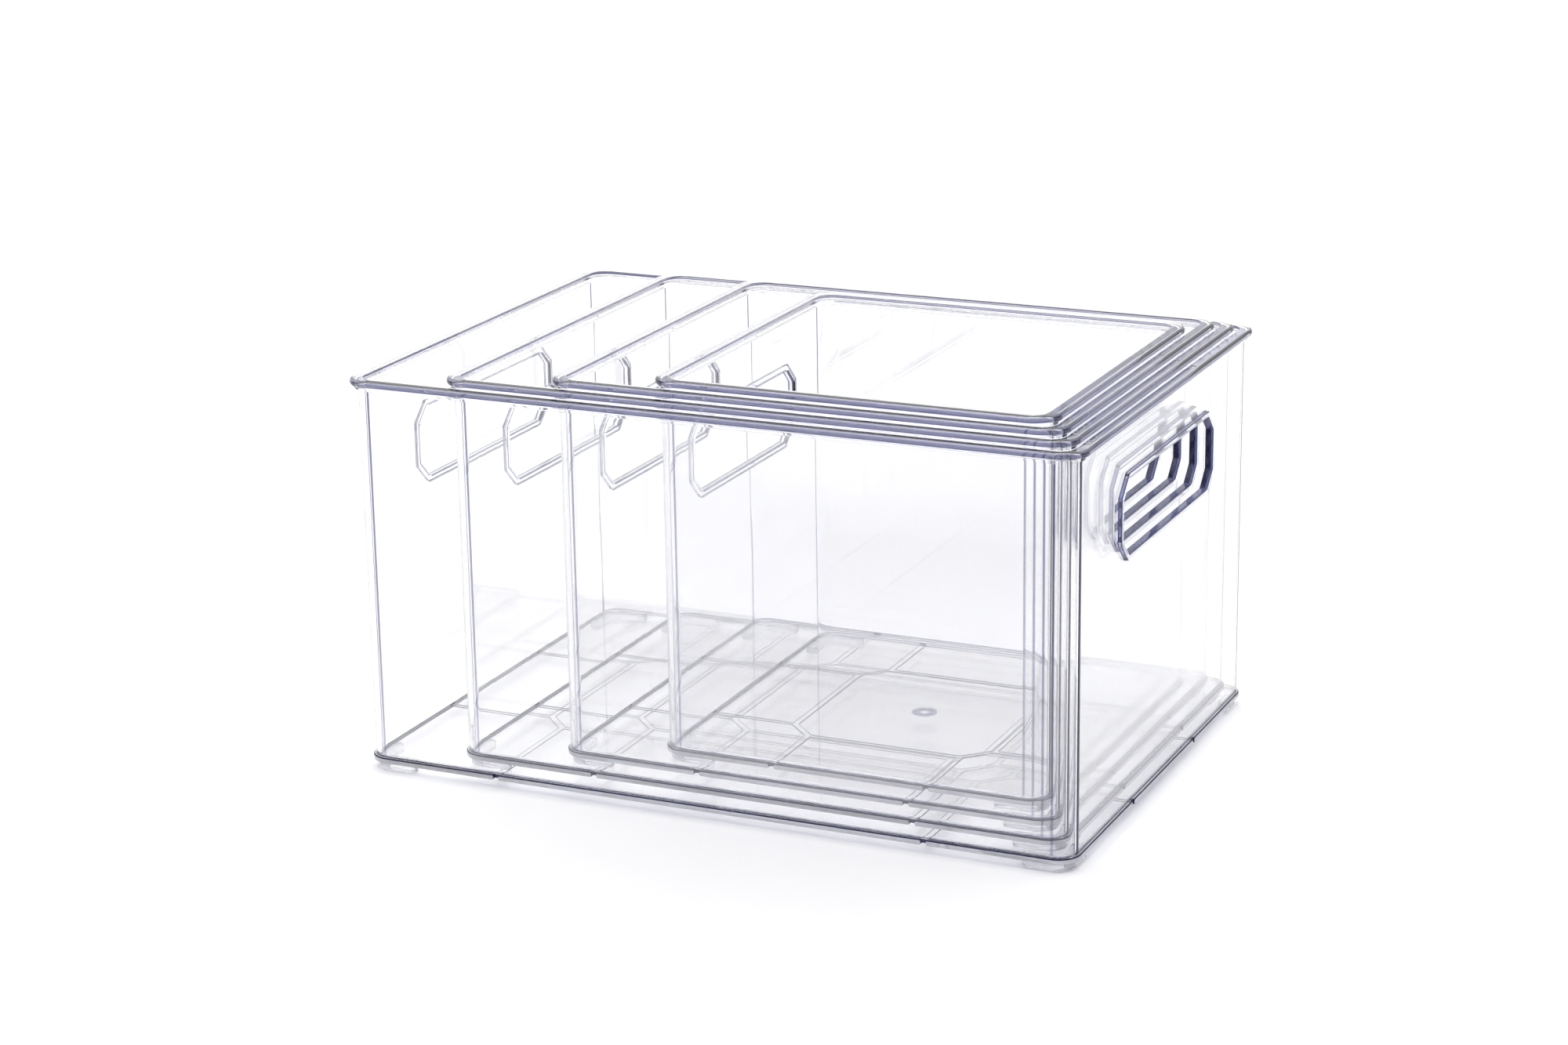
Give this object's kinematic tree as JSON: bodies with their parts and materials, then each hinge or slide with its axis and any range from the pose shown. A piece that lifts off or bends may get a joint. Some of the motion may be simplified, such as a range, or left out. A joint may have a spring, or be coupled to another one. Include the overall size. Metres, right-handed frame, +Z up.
{
  "type": "nested clear storage bin set",
  "caption": "Clear plastic fridge and pantry bins with rolled rims, octagonal hand holes and corner feet, nested one inside the other.",
  "frame": {"origin": "bottom centre of the large bin, on the surface that its feet stand on", "axes": "+X along the long front face to the end wall that the bins are pushed against, +Y from the front face to the back, +Z up"},
  "size_m": [0.3, 0.212, 0.166],
  "materials": {
    "clear_plastic": "polished clear moulding",
    "clear_foot": "satin clear soft plastic"
  },
  "bodies": {
    "large_bin": {"large_bin_shell": "clear_plastic", "large_bin_foot_front_left": "clear_foot", "large_bin_foot_front_right": "clear_foot", "large_bin_foot_back_left": "clear_foot", "large_bin_foot_back_right": "clear_foot"},
    "medium_bin": {"medium_bin_shell": "clear_plastic", "medium_bin_foot_front_left": "clear_foot", "medium_bin_foot_front_right": "clear_foot", "medium_bin_foot_back_left": "clear_foot", "medium_bin_foot_back_right": "clear_foot"},
    "small_bin": {"small_bin_shell": "clear_plastic", "small_bin_foot_front_left": "clear_foot", "small_bin_foot_front_right": "clear_foot", "small_bin_foot_back_left": "clear_foot", "small_bin_foot_back_right": "clear_foot"},
    "mini_bin": {"mini_bin_shell": "clear_plastic", "mini_bin_foot_front_left": "clear_foot", "mini_bin_foot_front_right": "clear_foot", "mini_bin_foot_back_left": "clear_foot", "mini_bin_foot_back_right": "clear_foot"}
  },
  "joints": [
    {"name": "medium_bin_lift", "type": "slide", "parent": "large_bin", "child": "medium_bin", "axis": [0, 0, 1], "range_m": [0, 0.165]},
    {"name": "small_bin_lift", "type": "slide", "parent": "medium_bin", "child": "small_bin", "axis": [0, 0, 1], "range_m": [0, 0.165]},
    {"name": "mini_bin_lift", "type": "slide", "parent": "small_bin", "child": "mini_bin", "axis": [0, 0, 1], "range_m": [0, 0.165]}
  ]
}
